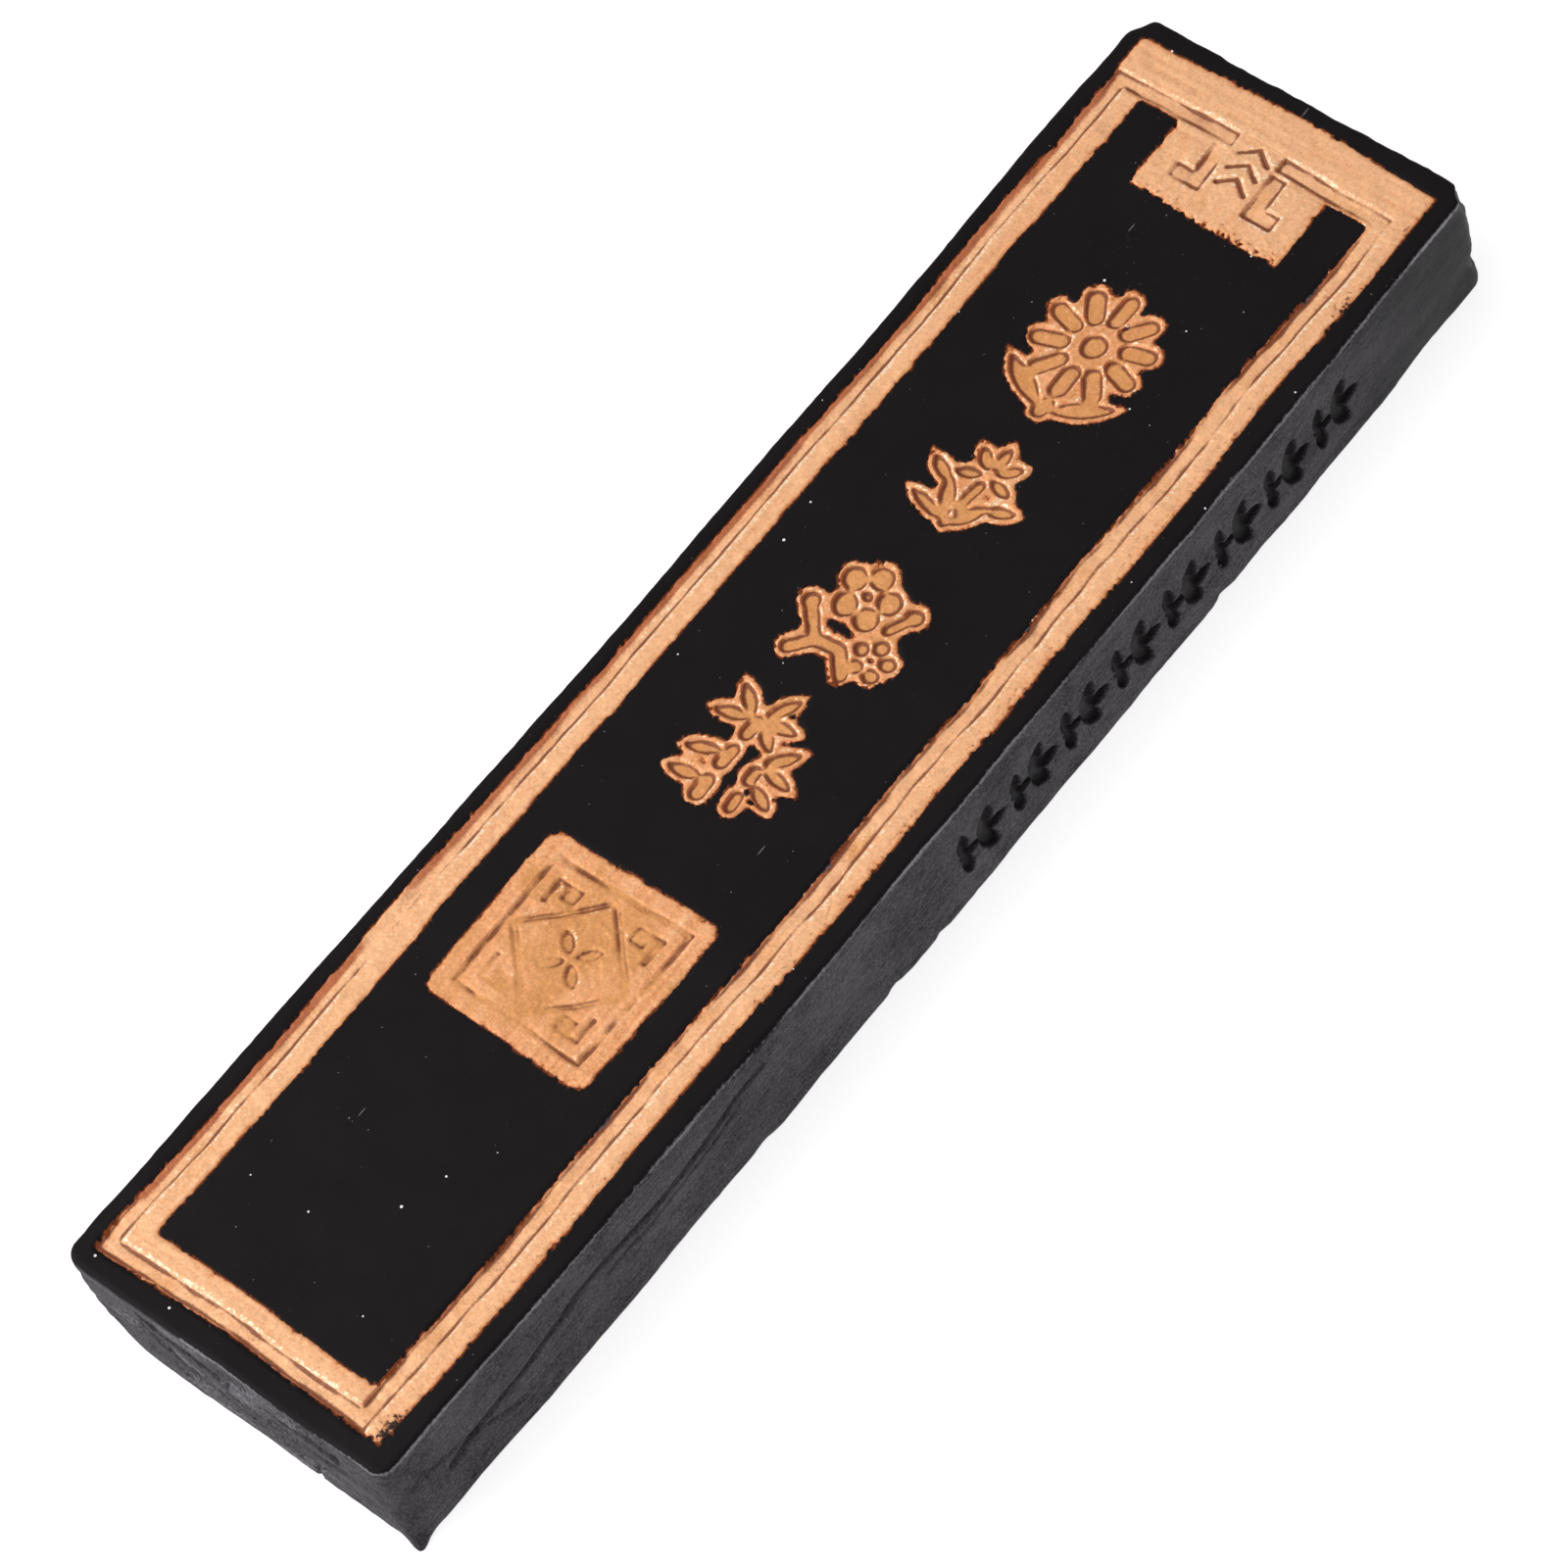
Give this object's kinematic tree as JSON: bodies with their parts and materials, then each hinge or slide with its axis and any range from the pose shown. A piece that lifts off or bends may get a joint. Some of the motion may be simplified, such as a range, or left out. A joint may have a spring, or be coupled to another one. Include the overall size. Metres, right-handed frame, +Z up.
{
  "type": "moulded ink stick",
  "caption": "Flat bar of pressed soot ink with moulded relief on both faces, gilded frame, key fret, plant motifs and a square seal in copper powder paint.",
  "frame": {"origin": "middle of the underside, which is the face the stick lies on", "axes": "+X along the stick, from the grinding end to the head; +Z up through the thickness, out of the gilded front face; -Y is the side with the pressed leaf sprigs"},
  "size_m": [0.095, 0.0234, 0.0087],
  "materials": {
    "ink_cake": "satin",
    "copper_gilding": "satin"
  },
  "bodies": {
    "root": {"ink_body": "ink_cake", "border_gilding": "copper_gilding", "fret_gilding": "copper_gilding", "chrysanthemum_gilding": "copper_gilding", "orchid_gilding": "copper_gilding", "plum_gilding": "copper_gilding", "bamboo_gilding": "copper_gilding", "seal_gilding": "copper_gilding", "back_border_gilding": "copper_gilding", "back_bough_gilding": "copper_gilding", "back_blossom_gilding": "copper_gilding", "back_bud_gilding": "copper_gilding", "back_moon_gilding": "copper_gilding"}
  },
  "joints": []
}
